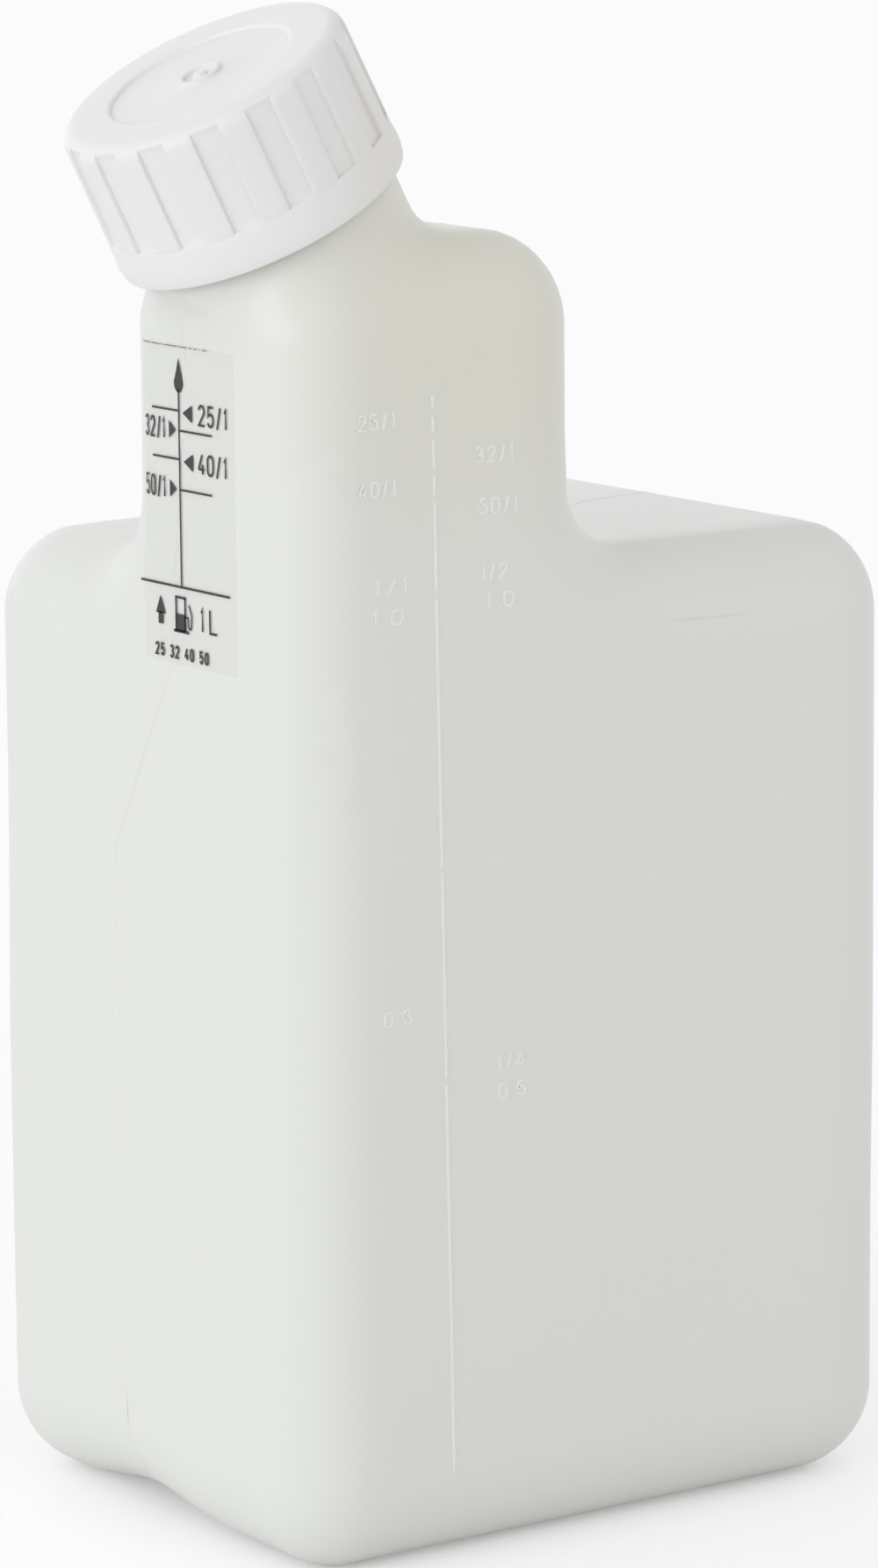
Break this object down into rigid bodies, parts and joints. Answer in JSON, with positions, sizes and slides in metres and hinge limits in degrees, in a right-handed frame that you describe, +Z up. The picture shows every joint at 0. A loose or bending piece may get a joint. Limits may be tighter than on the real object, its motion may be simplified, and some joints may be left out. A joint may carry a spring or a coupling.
{
  "type": "fuel mixing bottle",
  "caption": "Translucent white plastic mixing bottle with a measuring tower on one corner, a leaning neck and a white screw cap.",
  "frame": {"origin": "middle of the bounding box, on the plane the bottle stands on", "axes": "+Z up, the engraved wide face looks along -Y, the labelled narrow face along -X, to which the neck leans"},
  "size_m": [0.117, 0.0824, 0.2076],
  "materials": {
    "bottle_plastic": "translucent satin",
    "cap_plastic": "satin",
    "liner_foam": "matte",
    "label_film": "clear film"
  },
  "bodies": {
    "bottle": {"bottle": "bottle_plastic", "scale_label": "label_film"},
    "liner": {"cap_liner": "liner_foam"},
    "cap": {"cap": "cap_plastic"}
  },
  "joints": [
    {"name": "cap_lift", "type": "slide", "parent": "bottle", "child": "liner", "axis": [-0.4602, 0, 0.8878], "range_m": [0, 0.006]},
    {"name": "cap_turn", "type": "hinge", "parent": "liner", "child": "cap", "pos_m": [-0.03211, -0.0189, 0.1808], "axis": [-0.4602, 0, 0.8878], "range_deg": [0, 540]}
  ],
  "couplings": [
    {"joint": "cap_lift", "follows": "cap_turn", "m_per_rad": 0.00063662}
  ]
}
